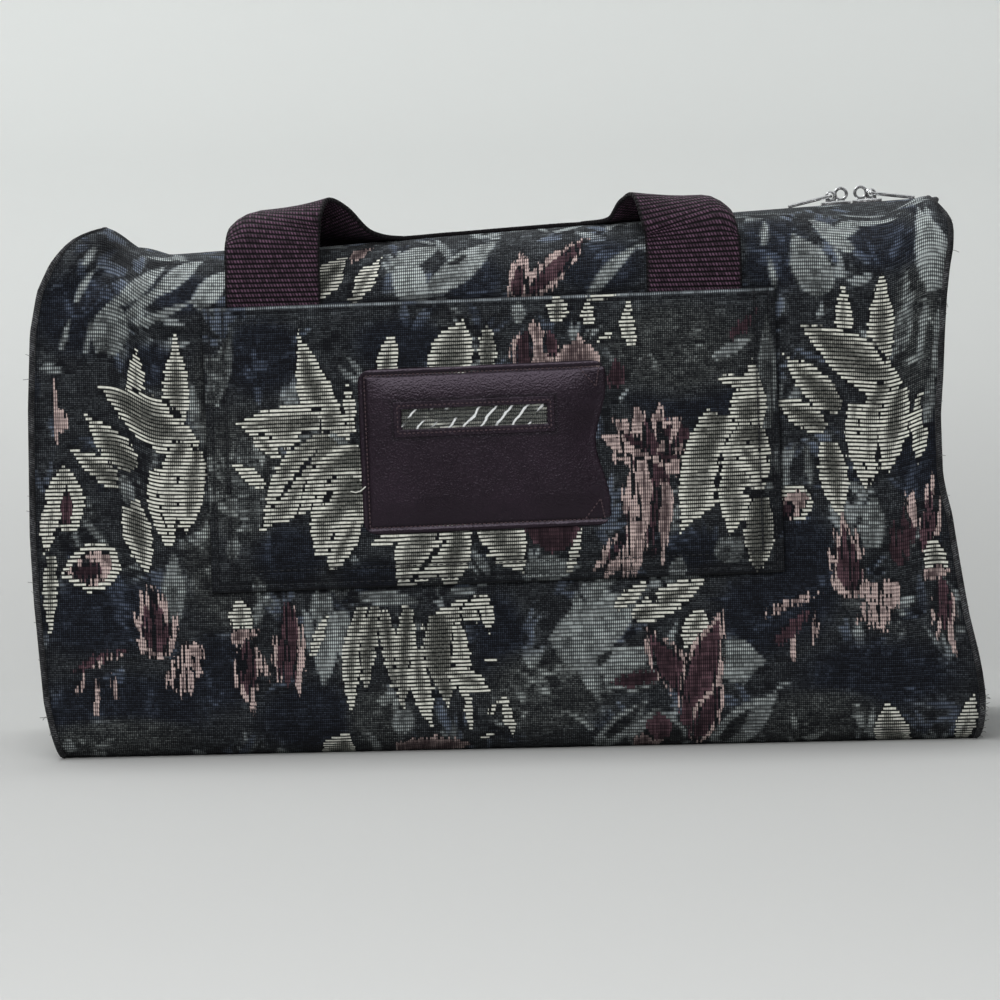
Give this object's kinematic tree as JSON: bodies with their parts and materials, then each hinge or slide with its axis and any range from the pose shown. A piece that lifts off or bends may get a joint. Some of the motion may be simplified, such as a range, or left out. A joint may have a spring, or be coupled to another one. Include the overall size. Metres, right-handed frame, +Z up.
{
  "type": "carpet bag",
  "caption": "Soft tapestry travel bag, slumped to one side, with a front pocket, leatherette name patch, ribbed webbing handles and a top zip closed by lockable sliders.",
  "frame": {"origin": "centre of the bounding box on the plane the base stands on", "axes": "+X along the bag towards the end where the zip sliders meet, +Y from the pocket side to the plain back, +Z up"},
  "size_m": [0.3842, 0.241, 0.224],
  "materials": {
    "tapestry": "woven floral tapestry with ivory, rose, burgundy and sage on navy",
    "piping_cloth": "dark self cloth",
    "leatherette": "fine plum grain",
    "clear_film": "clear soft film",
    "webbing": "ribbed plum nylon",
    "zip_tape": "dark plum tape",
    "zip_teeth": "dark plum nylon",
    "silver": "bright silver plate"
  },
  "bodies": {
    "bag": {"body_panel": "tapestry", "left_end_panel": "tapestry", "right_end_panel": "tapestry", "left_piping": "piping_cloth", "right_piping": "piping_cloth", "front_pocket": "tapestry", "id_patch": "leatherette", "window_binding": "leatherette", "id_window": "clear_film", "front_handle": "webbing", "rear_handle": "webbing", "zip_tape_front": "zip_tape", "zip_tape_back": "zip_tape", "zip_teeth_front": "zip_teeth", "zip_teeth_back": "zip_teeth"},
    "left_runner": {"slider_left": "silver"},
    "right_runner": {"slider_right": "silver"},
    "left_tab": {"pull_left": "silver"},
    "right_tab": {"pull_right": "silver"}
  },
  "joints": [
    {"name": "slider_left_slide", "type": "slide", "parent": "bag", "child": "left_runner", "axis": [-0.9986, 0, -0.0534], "range_m": [0, 0.285]},
    {"name": "slider_right_slide", "type": "slide", "parent": "bag", "child": "right_runner", "axis": [0.9986, 0, 0.0534], "range_m": [0, 0.009]},
    {"name": "pull_left_swing", "type": "hinge", "parent": "left_runner", "child": "left_tab", "pos_m": [0.13731, -0.01565, 0.2197], "axis": [0, 1, 0], "range_deg": [0, 105]},
    {"name": "pull_right_swing", "type": "hinge", "parent": "right_runner", "child": "right_tab", "pos_m": [0.1541, -0.01565, 0.2206], "axis": [0, -1, 0], "range_deg": [0, 105]}
  ]
}
